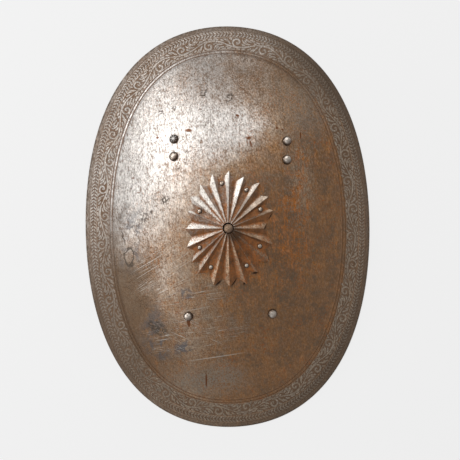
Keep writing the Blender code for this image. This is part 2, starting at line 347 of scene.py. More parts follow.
def wrap_group(dome_group):
    """Takes a flat strip of (turn, distance in from the edge, lift) onto the shield.

    Beyond the border, the distance goes from Field Start at the groove to one more at the crown.
    """
    strip = dict.fromkeys(("Turn", "Inset", "Lift", "Drop", "Field Start"), "float")
    tree, at, out = new_group(
        "wrap_on_shield", "GeometryNodeTree", {**strip, **SIZE_SOCKETS}, {"Position": "vector"}
    )
    turn = at["Turn"]
    swell = 1 + at["Shoulder"] * (turn * 2).sin() ** 2
    growth = 2 * at["Shoulder"] * (turn * 4).sin()
    x = at["Half Width"] * turn.cos() * swell
    y = at["Half Length"] * turn.sin() * swell
    along_x = at["Half Width"] * (turn.cos() * growth - turn.sin() * swell)
    along_y = at["Half Length"] * (turn.sin() * growth + turn.cos() * swell)
    size = (along_x * along_x + along_y * along_y).root()
    inset = at["Inset"].below(at["Field Start"])
    share = 1 - (at["Inset"] - at["Field Start"]).above(0.0)
    plan_x = (x - inset * along_y / size) * share
    plan_y = (y + inset * along_x / size) * share
    sizes = {name: at[name] for name in PLATE_SIZES}
    plan = {"X": plan_x, "Y": plan_y, "Lift": at["Lift"], "Drop": at["Drop"], **sizes}
    feed(out.inputs["Position"], use_group(dome_group, plan)["Position"])
    return tree


def plate_tree(wrap):
    """Wraps the plate's strip on the shield, with the shallow unevenness of hammered sheet."""
    floats = dict.fromkeys(("Field Start", "Unevenness", "Hammer Marks"), "float")
    tree, at, out, sizes = mesh_group("hammered_plate", floats)
    turn, inset, lift = parted(made(tree, "GeometryNodeInputPosition"))
    drop = made(tree, "GeometryNodeInputNamedAttribute", {"Name": "drop"}, data_type="FLOAT")
    field = (1 - (inset - at["Field Start"]).above(0.0)).below(1.0)
    ground = joined(turn.cos() * field, turn.sin() * field)
    hammered = noise_of(ground, at["Hammer Marks"], 1.5, 0.5)
    inside = ((inset - at["Field Start"]) * 8).above(0.0).below(1.0)
    uneven = (hammered - 0.5) * at["Unevenness"] * inside
    strip = {"Turn": turn, "Inset": inset, "Lift": lift + uneven, "Drop": drop}
    wrapped = use_group(wrap, {**strip, "Field Start": at["Field Start"], **sizes})
    return finish_tree(at, out, moved_to(at["Geometry"], wrapped["Position"]))


def moved_to(geometry, position):
    values = {"Geometry": geometry, "Position": position}
    return made(geometry.tree, "GeometryNodeSetPosition", values)


def finish_tree(at, out, last):
    """Ends a tree in real mesh with its material set."""
    real = made(last.tree, "GeometryNodeRealizeInstances", {"Geometry": last})
    values = {"Geometry": real, "Material": at["Material"]}
    feed(out.inputs["Geometry"], made(last.tree, "GeometryNodeSetMaterial", values))
    return last.tree


def border_tree(wrap):
    """Repeats one length of ornament round the border and wraps it on the shield."""
    floats = ("Unit Length", *EVEN_TERMS, "Hand Wobble", "Wear", "Seed")
    tree, at, out, sizes = mesh_group("border_ornament", {"Count": "int", **dict.fromkeys(floats, "float")})
    offset = joined(at["Unit Length"], 0.0)
    line = made(tree, "GeometryNodeMeshLine", {"Count": at["Count"], "Offset": offset}, mode="OFFSET")
    copies = made(tree, "GeometryNodeInstanceOnPoints", {"Points": line, "Instance": at["Geometry"]})
    real = made(tree, "GeometryNodeRealizeInstances", {"Geometry": copies})
    along, inset, lift = parted(made(tree, "GeometryNodeInputPosition"))
    round_way = along / at["Unit Length"] / at["Count"] * math.tau
    ring = joined(round_way.cos() * 0.25, round_way.sin() * 0.25, inset + at["Seed"])
    wobble = place(tree, "ShaderNodeTexNoise", {"Vector": ring, "Scale": 55.0, "Detail": 1.0})
    shake_x, shake_y, _ = parted(Wire(wobble.outputs["Color"]))
    worn = made(tree, "ShaderNodeTexNoise", {"Vector": ring, "Scale": 14.0, "Detail": 2.0})
    kept = 1 - at["Wear"] * worn.clear(0.42, 0.62)
    even = round_way + (shake_x - 0.5) * at["Hand Wobble"] * 4.4
    turn = even
    for label, times in EVEN_TERMS.items():
        turn = turn + at[label] * (even * times).sin()
    inset = inset + (shake_y - 0.5) * at["Hand Wobble"]
    lift = lift.above(0.0) * kept + lift.below(0.0)
    strip = {"Turn": turn, "Inset": inset, "Lift": lift, "Drop": 0.0, "Field Start": 1.0}
    return finish_tree(at, out, moved_to(real, use_group(wrap, {**strip, **sizes})["Position"]))


def rivet_tree(dome_group):
    """Sets a rivet square to the dome at each point, sized a little by chance."""
    tree, at, out, sizes = mesh_group(
        "rivets_on_dome", {"Rivet": "object", "Seat": "float", "Size Spread": "float", "Seed": "int"}
    )
    x, y, _ = parted(made(tree, "GeometryNodeInputPosition"))
    onto = use_group(dome_group, {"X": x, "Y": y, "Lift": at["Seat"], "Drop": 0.0, **sizes})
    source = place(tree, "GeometryNodeObjectInfo", {"Object": at["Rivet"]})
    stand = made(tree, "FunctionNodeAlignRotationToVector", {"Vector": onto["Normal"]}, axis="Z")
    spread = place(
        tree, "FunctionNodeRandomValue",
        {"Min": 1 - at["Size Spread"], "Max": 1 + at["Size Spread"], "Seed": at["Seed"]}, data_type="FLOAT"
    )
    scale = Wire(next(socket for socket in spread.outputs if socket.enabled))
    copies = made(
        tree, "GeometryNodeInstanceOnPoints",
        {
            "Points": moved_to(at["Geometry"], onto["Position"]),
            "Instance": Wire(source.outputs["Geometry"]), "Rotation": stand,
            "Scale": joined(scale, scale, scale)
        }
    )
    return finish_tree(at, out, copies)


def grown(name, tree, inputs, source):
    """The plain mesh that a tree makes from an object's own mesh."""
    modifier = source.modifiers.new(name, "NODES")
    modifier.node_group = tree
    values = {**PLATE_SIZES, **inputs}
    for item in tree.interface.items_tree:
        if item.in_out == "INPUT" and item.name in values:
            modifier[item.identifier] = values[item.name]
    bpy.context.view_layer.update()
    shaped = source.evaluated_get(bpy.context.evaluated_depsgraph_get())
    mesh = bpy.data.meshes.new_from_object(shaped)
    source.modifiers.clear()
    bpy.data.objects.remove(source)
    mesh.name = name
    return new_object(name, mesh)


def new_object(name, mesh):
    obj = bpy.data.objects.new(name, mesh)
    bpy.context.scene.collection.objects.link(obj)
    return obj


def mesh_of(name, points, faces, **layers):
    mesh = bpy.data.meshes.new(name)
    mesh.from_pydata([tuple(p) for p in points], [], faces)
    for layer, values in layers.items():
        attribute = mesh.attributes.new(layer, "FLOAT", "POINT")
        attribute.data.foreach_set("value", np.asarray(values, dtype=np.float32))
    mesh.update()
    return mesh


def smooth(obj, degrees):
    obj.data.shade_smooth()
    obj.data.set_sharp_from_angle(angle=math.radians(degrees))


# Shapes on the dome, worked out in Python


def dome_points(x, y, lift=0.0):
    """Points at a lift square to the dome over places in plan, and the normals there."""

    def height(x, y):
        across, up = x / HALF_WIDTH, y / HALF_LENGTH
        square = np.maximum(across**2 + up**2, 1e-9)
        straight = np.sqrt(square)
        swell = SHOULDER * (2 * across * up / square) ** 2
        reach = straight
        for _ in range(5):
            reach = straight / (1 + swell * reach**2)
        return RIM_RISE + (DOME_HEIGHT - RIM_RISE) * (1 - reach**DOME_POWER)

    step = SLOPE_STEP
    normal = np.stack(
        [
            (height(x - step, y) - height(x + step, y)) / (2 * step),
            (height(x, y - step) - height(x, y + step)) / (2 * step), np.ones_like(x)
        ],
        -1
    )
    normal /= np.linalg.norm(normal, axis=-1, keepdims=True)
    points = np.stack([x, y, height(x, y)], -1)
    return points + normal * np.asarray(lift)[..., None], normal


def ring_faces(rings, columns):
    """Quads between rings of equal count, each ring closed on itself."""
    faces = []
    for j in range(rings - 1):
        for k in range(columns):
            after = (k + 1) % columns
            faces.append(
                (j * columns + k, j * columns + after, (j + 1) * columns + after, (j + 1) * columns + k)
            )
    return faces


def border_profile():
    """The outer face from the edge to the field, as (distance in, lift, etched)."""

    def ramp(low, high, steps, lift, etched):
        return [(low + (high - low) * k / steps, lift, etched) for k in range(steps)]

    def raised(line):
        half, wall = LINE_WIDTH / 2, 0.0003
        return [
            (line - half - wall, -ETCH_DEPTH, 1.0), (line - half, -0.00004, 0.2), (line, 0.00006, 0.0),
            (line + half, -0.00004, 0.2), (line + half + wall, -ETCH_DEPTH, 1.0)
        ]

    def groove(line):
        return [
            (
                line + share * GROOVE_HALF_WIDTH, -GROOVE_DEPTH * depth, min(1.0, 0.2 + 1.6 * depth)
            ) for share,
            depth in ((-1, 0), (-0.6, 0.55), (-0.2, 1), (0.2, 1), (0.6, 0.55), (1, 0))
        ]

    return [
        *ramp(EDGE_ROUND + 0.0002, EDGE_LINE - 0.0012, 6, 0.0, 0.35), (EDGE_LINE - 0.0009, 0.0, 0.7),
        *raised(EDGE_LINE), *ramp(EDGE_LINE + 0.0016, BAND_LINE - 0.0011, 6, -ETCH_DEPTH, 1.0),
        *raised(BAND_LINE), *ramp(BAND_LINE + 0.0018, BAND_GROOVE - 0.0016, 16, -ETCH_DEPTH, 1.0),
        (BAND_GROOVE - 0.0011, -0.00002, 0.1), *groove(BAND_GROOVE), (FILLET - 0.0005, 0.00022, 0.0),
        (FILLET, 0.0003, 0.0), (FILLET + 0.0005, 0.00022, 0.0), *groove(FIELD_GROOVE)
    ]


def plate_strip():
    """The plate's skin laid flat: crown, field, border, edge, flat rest and lining."""
    inner = -PLATE_THICKNESS
    # Each row is distance in, lift, drop, etched, edge, border, lining
    rows = []
    for k in range(FIELD_RINGS):
        share = (k + 1) / (FIELD_RINGS + 1)
        rows.append((FIELD_START + 1 - share, 0.0, 0.0, 0.0, 0.0, 0.0, 0.0))
    for inset, lift, etched in reversed(border_profile()):
        border = float(inset < BAND_GROOVE - GROOVE_HALF_WIDTH)
        margin = 1.0 if inset < 0.002 else 0.35 if inset < EDGE_LINE - 0.001 else 0.0
        rows.append((inset, lift, 0.0, etched, margin, border, 0.0))
    for k in range(1, 6):
        angle = math.pi / 2 * k / 5
        inset = EDGE_ROUND * (1 - math.sin(angle))
        rows.append((inset, 0.0, EDGE_ROUND * (1 - math.cos(angle)), 0.2, 1.0, 1.0, 0.0))
    rows.append((0.0, 0.0, 0.8 * RIM_RISE, 0.2, 1.0, 1.0, 0.0))
    rows.append((UNDERCUT, 0.0, 1.0, 0.3, 1.0, 1.0, 1.0))
    insets = [0.0021, 0.003, 0.006, 0.012, 0.02, 0.03, FIELD_START]
    insets += [FIELD_START + k / LINING_RINGS for k in range(1, LINING_RINGS)]
    rows += [(inset, inner, 0.0, 0.0, 0.0, 0.0, 1.0) for inset in insets]
    turns = np.arange(PLATE_COLUMNS) * math.tau / PLATE_COLUMNS
    points = [(turn, row[0], row[1]) for row in rows for turn in turns]
    layers = {
        name: [row[k] for row in rows for _ in turns] for k,
        name in enumerate(("drop", "etched", "edge", "border", "lining"), 2)
    }
    faces = ring_faces(len(rows), PLATE_COLUMNS)
    for lift, row in ((0.0, 0), (inner, len(rows) - 1)):
        crown = len(points)
        points.append((0.0, FIELD_START + 1, lift))
        for name, values in layers.items():
            values.append(float(name == "lining" and row > 0))
        for k in range(PLATE_COLUMNS):
            near, far = row * PLATE_COLUMNS + k, row * PLATE_COLUMNS + (k + 1) % PLATE_COLUMNS
            faces.append((far, near, crown) if row == 0 else (near, far, crown))
    return mesh_of("plate_strip", points, faces, **layers)


# The ornament's strokes, drawn flat in millimetres: along the border and across it


def pulled(start, heading, length, bend, hook, steps=9):
    """A curved line from a point: it leaves at a heading in degrees and turns by bend, then by hook."""
    points = [np.array(start, float)]
    step = length / steps
    for k in range(steps):
        share = (k + 0.5) / steps
        angle = math.radians(heading + bend * share + hook * share**3)
        points.append(points[-1] + step * np.array([math.cos(angle), math.sin(angle)]))
    return np.array(points)


def round_from(middle, radius, degrees):
    angle = math.radians(degrees)
    return middle + radius * np.array([math.cos(angle), math.sin(angle)])


def half_wave(width, swing):
    """One scroll with its leaves between two crossings of the stem, as (points, stroke width)."""
    strokes = []

    def stem(x):
        return swing * math.sin(math.pi * x / width)

    def on_stem(share, lift=0.0):
        return np.array([share * width, stem(share * width) + lift])

    strokes.append((np.array([on_stem(k / 24) for k in range(-2, 27)]), 2.4))
    # The volute leaves the stem and curls into the hollow under its crest
    middle = np.array([width * 0.58, -2.5])
    curl = []
    for k in range(27):
        share = k / 26
        curl.append(round_from(middle, 6.3 * (1 - share**1.5) + 1.2 * share, 122 - 450 * share))
    strokes.append((np.array(curl), 2.5))
    strokes.append((pulled(middle + (-1.2, 0.3), 10, 2.4, -40, 0, 4), 2.2))
    for along, lift, *shape in FLOWING_LEAVES:
        strokes.append((pulled((along, lift), *shape), 2.3))
    return strokes + small_leaves(strokes, width, middle)


def small_leaves(strokes, width, middle):
    """Short curved leaves that turn round the volute wherever the ground is still bare."""
    rng = np.random.default_rng(11)
    taken = np.concatenate([line for line, _ in strokes])
    leaves = []
    for x in np.arange(1.0, width, 1.3):
        for y in np.arange(-8.2, 8.3, 1.3):
            spot = np.array([x, y]) + rng.uniform(-0.4, 0.4, 2)
            flow = math.degrees(math.atan2(*(spot - middle)[::-1])) + 125
            for length in (9.0, 7.5, 6.0, 4.5, 3.2):
                back = round_from(np.zeros(2), length / 2, flow)
                line = pulled(spot - back, flow + 30, length, -60, 0, 7)
                apart = np.linalg.norm(taken[:, None] - line[None], axis=2)
                if apart.min() > LEAF_CLEARANCE and np.abs(line[:, 1]).max() < 8.7:
                    leaves.append((line, 2.0))
                    taken = np.concatenate([taken, line])
                    break
    return leaves


def spindles(name, strokes, rise):
    """Closed, pointed ridges along strokes whose points are (along, in from the edge), in metres."""
    points, faces, tops = [], [], []
    for line, thick in strokes:
        count = len(line)
        way = np.gradient(line, axis=0)
        way /= np.maximum(np.linalg.norm(way, axis=1, keepdims=True), 1e-9)
        side = np.stack([-way[:, 1], way[:, 0]], 1)
        base = len(points)
        sunk = -0.00003 - ETCH_DEPTH
        points.append((*line[0], sunk))
        tops.append(0.0)
        for k in range(1, count - 1):
            full = math.sin(math.pi * k / (count - 1)) ** 0.55
            half = thick * 0.5 * full
            crest = -ETCH_DEPTH + rise * full
            foot = half + STROKE_FOOT
            for out, height, top in (
                (foot, sunk, 0.0), (half * 0.9, crest, 1.0), (-half * 0.9, crest, 1.0), (-foot, sunk, 0.0)
            ):
                points.append((*(line[k] + side[k] * out), height))
                tops.append(top)
        points.append((*line[-1], sunk))
        tops.append(0.0)
        last = len(points) - 1
        for a, b in ((1, 2), (2, 3), (3, 4), (4, 1)):
            faces.append((base, base + b, base + a))
            faces.append((last, last - 5 + a, last - 5 + b))
            for k in range(count - 3):
                near, far = base + 4 * k, base + 4 * (k + 1)
                faces.append((near + a, near + b, far + b, far + a))
    return mesh_of(name, points, faces, stroke_top=tops)


def band_length(inset):
    """Length round the shield at a distance in, and what evens out steps of equal turn there."""
    turns = np.linspace(0, math.tau, 4097)
    swell = 1 + SHOULDER * np.sin(2 * turns) ** 2
    x, y = HALF_WIDTH * np.cos(turns) * swell, HALF_LENGTH * np.sin(turns) * swell
    along = np.stack([np.gradient(x), np.gradient(y)])
    along /= np.linalg.norm(along, axis=0)
    points, _ = dome_points(x - inset * along[1], y + inset * along[0])
    steps = np.linalg.norm(np.diff(points, axis=0), axis=1)
    gone = np.concatenate([[0], np.cumsum(steps)])
    even = gone / gone[-1] * math.tau
    lead = np.interp(turns, even, turns) - turns
    terms = [2 * np.mean(lead[:-1] * np.sin(times * turns[:-1])) for times in EVEN_TERMS.values()]
    return gone[-1], dict(zip(EVEN_TERMS, (float(term) for term in terms)))


def foliage_unit(length):
    """Two half waves, the second turned over, in metres over the band between its lines."""
    middle = (BAND_LINE + BAND_GROOVE) / 2
    half = length * 1000 / 2
    room = (BAND_GROOVE - BAND_LINE) / 2 * 1000 - 1.2
    strokes = []
    for flip, shift in ((1, 0.0), (-1, half)):
        for line, thick in half_wave(half, SCROLL_SWING):
            line = line.copy()
            line[:, 1] = np.clip(line[:, 1], -room, room) * flip
            if flip < 0:
                line = line[::-1]
            line[:, 0] += shift
            strokes.append((line / 1000 + np.array([0, middle]), thick / 1000))
    return spindles("foliage_unit", strokes, STROKE_RISE)


def leaf_row_unit():
    """One pair of slanting leaves in the row near the edge."""
    middle = (EDGE_LINE + BAND_LINE) / 2
    strokes = []
    for side in (-1, 1):
        bend = pulled((0.2, 0.15 * side), 30 * side, ROW_LEAF_LENGTH, 24 * side, 0, 6) / 1000
        strokes.append((bend + np.array([0, middle]), ROW_LEAF_WIDTH))
    return spindles("leaf_row_unit", strokes, STROKE_RISE)


# The rosette


def tip(petal):
    turns, index = divmod(petal, len(PETAL_TIPS))
    degrees, reach = PETAL_TIPS[index]
    return math.radians(degrees) + math.tau * turns, reach


def notch(petal):
    angle, reach = tip(petal)
    next_angle, next_reach = tip(petal + 1)
    return (angle + next_angle) / 2, NOTCH_SHARE * (reach + next_reach) / 2


def rosette_plan(angle, reach, share):
    out = ROSETTE_HOLE + (reach - ROSETTE_HOLE) * share
    return np.array(ROSETTE_AT) + out * np.array([math.cos(angle), math.sin(angle)])


def ridge_lift(share):
    full = 0.8
    if share < full:
        return RIDGE_AT_HOLE + (RIDGE_HEIGHT - RIDGE_AT_HOLE) * share / full
    return RIDGE_HEIGHT + (RIDGE_AT_TIP - RIDGE_HEIGHT) * (share - full) / (1 - full)


def facing_away(turn):
    """How far a flank that faces this way is turned from the key light, -1 to 1."""
    away = math.cos(turn - AWAY_FROM_KEY)
    return math.copysign(abs(away) ** 0.4, away)


def rosette_mesh():
    """The fluted sheet: flanks that fold up to a crease along each petal."""
    rng = np.random.default_rng(7)
    petals = len(PETAL_TIPS)
    riveted = {petal for petal, _ in ROSETTE_RIVETS.values()}
    sag = rng.normal(0, 1, (petals, 3))
    shares = np.linspace(0, 1, ROSETTE_RINGS + 1)
    tips = [tip(petal) for petal in range(petals + 1)]
    for broken in (0, petals):
        tips[broken] = (tips[broken][0], BROKEN_REACH)
    plans, lifts, crests, sides = [], [], [], []
    for share in shares:
        cone = CONE_RISE * max(0.0, 1 - share / CONE_FOOT) ** 1.4
        for petal in range(petals):
            foot = rosette_plan(*notch(petal), share)
            flat = SEAT_HALF_WIDTH * min(1, share / CONE_FOOT) if petal in riveted else VALLEY_HALF_WIDTH
            for k, turn, steps in (
                (petal, math.pi / 2, range(FLANK_STEPS)),
                (petal + 1, -math.pi / 2, range(FLANK_STEPS, 0, -1))
            ):
                angle, reach = tips[k]
                crest = rosette_plan(angle, reach, share)
                height = ridge_lift(share) * (1 + RIDGE_SPREAD * sag[k % petals, 0])
                away = facing_away(angle + turn)
                seat = min(0.8, flat / max(np.linalg.norm(crest - foot), 1e-6))
                for step in steps:
                    way = (step / FLANK_STEPS) ** 0.9
                    fold = max(0.0, 1 - way / (1 - seat))
                    plans.append(crest + (foot - crest) * way)
                    lifts.append(GAP + cone + height * fold)
                    crests.append(fold)
                    sides.append(fold**0.3 * away)
    plans = np.array(plans)
    lifts = np.array(lifts)
    crests = np.array(crests)
    columns = petals * FLANK_STEPS * 2
    rings = ROSETTE_RINGS + 1
    out = np.repeat(shares, columns)
    wave = np.sin(plans[:, 0] * 410 + 1.3) * np.sin(plans[:, 1] * 370 + 0.4)
    lifts += DENTS * wave * np.clip(out * 3, 0, 1) * (crests > 0.05)
    top, _ = dome_points(plans[:, 0], plans[:, 1], lifts + ROSETTE_SHEET)
    under, _ = dome_points(plans[:, 0], plans[:, 1], lifts)

    def with_under(upper, lower):
        """Rows of the upper face from the hole out, then of the lower face back to the hole."""
        upper, lower = np.asarray(upper), np.asarray(lower)
        rows = lower.reshape(rings, columns, *lower.shape[1:])[::-1]
        return np.concatenate([upper, rows.reshape(lower.shape)])

    faces = ring_faces(2 * rings, columns)
    last = (2 * rings - 1) * columns
    for k in range(columns):
        after = (k + 1) % columns
        faces.append((last + k, last + after, after, k))
    layers = {"crest": crests, "out": out, "side": sides}
    layers = {name: with_under(values, values) for name, values in layers.items()}
    points = with_under(top, under)
    return mesh_of("rosette_sheet", points, [face[::-1] for face in faces], **layers)


# Rivets and stud


def turned(name, profile, sides, shape=None):
    """Turns (radius, height) pairs about +Z, from a point on top to a flat end."""
    rim = max(radius for radius, _ in profile)
    points, shade, away = [(0.0, 0.0, profile[0][1])], [0.0], [0.0]
    for radius, height in profile[1:]:
        for k in range(sides):
            angle = math.tau * k / sides
            grow, drop = shape(angle, radius, height) if shape else (1.0, 0.0)
            points.append((radius * grow * math.cos(angle), radius * grow * math.sin(angle), height - drop))
            # brim: dirt and painted shade towards the brim and in cut grooves; away: painted shade on the
            # side turned from the key light
            shade.append(max(radius / rim, drop * 1400) if height > 0 else 1.0)
            away.append(math.cos(angle - AWAY_FROM_KEY) * radius / rim)
    points.append((0.0, 0.0, profile[-1][1]))
    shade.append(1.0)
    away.append(0.0)
    rings = len(profile) - 1
    faces = [(0, 1 + k, 1 + (k + 1) % sides) for k in range(sides)]
    faces += [tuple(index + 1 for index in face[::-1]) for face in ring_faces(rings, sides)]
    last = 1 + (rings - 1) * sides
    faces += [(last + (k + 1) % sides, last + k, len(points) - 1) for k in range(sides)]
    return mesh_of(name, points, faces, brim=shade, away=away)


def rivet_profile(grip, head, dome, shank, tail):
    """A domed head on a shank, with a tail beyond what the rivet grips."""
    brim = 0.14 * dome
    angles = [math.pi / 2 * k / 10 for k in range(11)]
    profile = [(head * math.sin(a), brim + (dome - brim) * math.cos(a) ** 0.9) for a in angles]
    foot = -grip - 0.0007
    profile += [
        (head * 0.995, brim * 0.4), (head * 0.97, 0.0), (shank, 0.0), (shank, foot), (tail * 0.96, foot),
        (tail, foot - 0.3 * TAIL_HEIGHT), (tail * 0.93, foot - 0.75 * TAIL_HEIGHT),
        (tail * 0.75, foot - TAIL_HEIGHT)
    ]
    return profile


def daisy_shape(angle, radius, height):
    """Petals cut round a button."""
    share = radius / STRAP_RIVET["head"]
    if height < 0.0006 or not 0.24 < share <= 0.99:
        return 1.0, 0.0
    groove = 1 - abs(math.cos(angle * 4)) ** 2
    return 1.0, 0.0011 * groove * min(1, (share - 0.24) * 6)


def stud_shape(angle, radius, height):
    """The worn, flaky iron of the stud."""
    if height < 0:
        return 1.0, 0.0
    flake = math.sin(3 * angle + 500 * height) * math.sin(2 * angle - 260 * height + 1)
    return 1 + 0.035 * flake, 0.0004 * math.sin(5 * angle + 900 * radius)


def stud_profile():
    """A rounded stump on a shank, with a flat tail behind the plate."""
    side = 0.96 * STUD_RADIUS
    crown = 0.85 * STUD_RADIUS
    wall = STUD_HEIGHT - STUD_WEAR - crown
    angles = [math.pi / 2 * k / 8 for k in range(9)]
    profile = [
        (
            STUD_RADIUS * math.sin(a) * 0.96, STUD_HEIGHT - STUD_WEAR - crown * (1 - math.cos(a))
        ) for a in angles
    ]
    profile += [(side, wall * (1 - k / 14)) for k in range(1, 15)]
    foot = -PLATE_THICKNESS - 0.001
    return profile + [
        (0.0048, 0.0), (0.0048, foot), (0.0078, foot), (0.0080, foot - 0.001), (0.0075, foot - 0.0024),
        (0.0060, foot - 0.0030)
    ]


# Marks on the face, as centre, half length, half width and direction in degrees

# Blue-grey patches at the lower left
BLUE_PATCHES = (
    ((-0.104, -0.135), 0.046, 0.022, 80),
    ((-0.100, -0.172), 0.030, 0.018, -30),
    ((-0.060, -0.168), 0.022, 0.012, -20),
    ((-0.060, -0.094), 0.020, 0.014, 20)
)

# Painted shadows on the plate in the gaps under the rosette's lifted edges, as centre, half length and
# direction
PAINTED_EDGE_SHADOWS = (
    ((0.0078, -0.0768), 0.0090, 54),
    ((-0.0138, -0.0778), 0.0080, 42),
    ((0.0372, -0.0646), 0.0060, 11),
    ((0.0583, 0.0130), 0.0080, 54),
    ((0.0508, -0.0030), 0.0090, 66),
    ((0.0500, -0.0446), 0.0080, -4),
    ((0.0230, -0.0780), 0.0060, 50)
)

EDGE_SHADOW_HALF_WIDTH = 0.0024

# Clusters of dark specks
SPECK_CLUSTERS = (
    ((0.0055, 0.1800), 0.0105, 0.0060, 60),
    ((-0.0300, 0.1865), 0.0085, 0.0065, 60),
    ((-0.0732, 0.1654), 0.0070, 0.0040, 70),
    ((-0.0863, 0.0381), 0.0100, 0.0070, 30),
    ((-0.0760, 0.1357), 0.0050, 0.0022, 40),
    ((-0.1160, 0.0150), 0.0080, 0.0110, 0),
    ((-0.0900, 0.1610), 0.0060, 0.0040, -20),
    ((-0.1000, -0.1400), 0.0200, 0.0120, -35)
)

# Thin dark lines, most of them at the left
DARK_LINES = (
    ((-0.1465, -0.0110), 0.0150, 0.0016, -74),
    ((-0.0887, 0.0397), 0.0036, 0.0014, 42),
    ((-0.0841, 0.0376), 0.0040, 0.0014, -58),
    ((-0.1059, 0.0226), 0.0044, 0.0014, 76)
)

# Bundles of fine scratches, with how thick their lines are as a last number
SCRATCH_BUNDLES = (
    ((-0.092, -0.056), 0.062, 0.032, 31, 0.018),
    ((-0.084, -0.078), 0.050, 0.022, 24, 0.018),
    ((-0.055, -0.100), 0.060, 0.026, 8, 0.016),
    ((-0.050, -0.150), 0.085, 0.036, 9, 0.016),
    ((-0.055, -0.150), 0.070, 0.044, -24, 0.007)
)

# Red-brown spots
RED_SPOTS = (
    ((-0.0522, 0.1347), 0.0060, 0.0028, -4),
    ((0.0160, 0.1545), 0.0032, 0.0022, -20),
    ((-0.0960, 0.1255), 0.0026, 0.0018, 0),
    ((-0.1310, 0.0700), 0.0030, 0.0012, 0),
    ((-0.1235, 0.0490), 0.0036, 0.0010, 0),
    ((0.0310, 0.1225), 0.0032, 0.0026, 30),
    ((0.0340, 0.1150), 0.0014, 0.0056, 14),
    ((0.0709, 0.1365), 0.0022, 0.0020, 0),
    ((0.0786, 0.1342), 0.0024, 0.0014, -20),
    ((0.1040, 0.1260), 0.0014, 0.0064, 0),
    ((-0.0330, -0.2150), 0.0016, 0.0130, 0),
    ((-0.0560, -0.1330), 0.0030, 0.0080, 8)
)

# Finishes of the smaller pieces; brim is how much darker they get towards their brim
SMALL_STEELS = {
    "rivet": {
        "brown": 0.30, "rust": 0.15, "relief": 0.0001, "brim": 0.6, "dull": 0.34, "metallic": 0.92,
        "bright": (0.90, 0.83, 0.75), "patina": (0.33, 0.21, 0.135), "bloom": (0.30, 0.115, 0.045)
    },
    "small_rivet": {
        "brown": 0.38, "rust": 0.2, "relief": 0.0001, "brim": 0.5, "dull": 0.42, "metallic": 0.92,
        "bright": (0.86, 0.78, 0.68), "patina": (0.30, 0.18, 0.11), "bloom": (0.30, 0.115, 0.045)
    },
    "daisy": {
        "brown": 0.2, "rust": 0.0, "relief": 0.0001, "brim": 0.6, "dull": 0.7, "metallic": 0.92,
        "bright": (0.75, 0.72, 0.68), "patina": (0.3, 0.25, 0.2), "bloom": (0.245, 0.155, 0.10)
    },
    "stud": {
        "brown": 0.5, "rust": 0.35, "relief": 0.0006, "brim": 0.3, "dull": 1.0, "metallic": 0.6,
        "bright": (0.47, 0.325, 0.215), "patina": (0.27, 0.155, 0.09), "bloom": (0.26, 0.13, 0.06)
    }
}


# Shader groups


def noise_of(vector, scale, detail, roughness=0.55, distortion=0.0):
    values = {"Vector": vector, "Scale": scale, "Detail": detail}
    values.update({"Roughness": roughness, "Distortion": distortion})
    return made(vector.tree, "ShaderNodeTexNoise", values)


def rgba(colour):
    return colour if isinstance(colour, Wire) else (*colour, 1.0)


def blend_of(factor, low, high):
    values = {0: factor, 6: rgba(low), 7: rgba(high)}
    node = place(tree_of((factor, low, high)), "ShaderNodeMix", data_type="RGBA")
    for index, value in values.items():
        feed(node.inputs[index], value)
    return Wire(node.outputs[2])


def turned_coords(vector, degrees, stretch):
    values = {"Vector": vector, "Rotation": (0.0, 0.0, math.radians(degrees)), "Scale": (*stretch, 1.0)}
    return made(vector.tree, "ShaderNodeMapping", values, vector_type="TEXTURE")


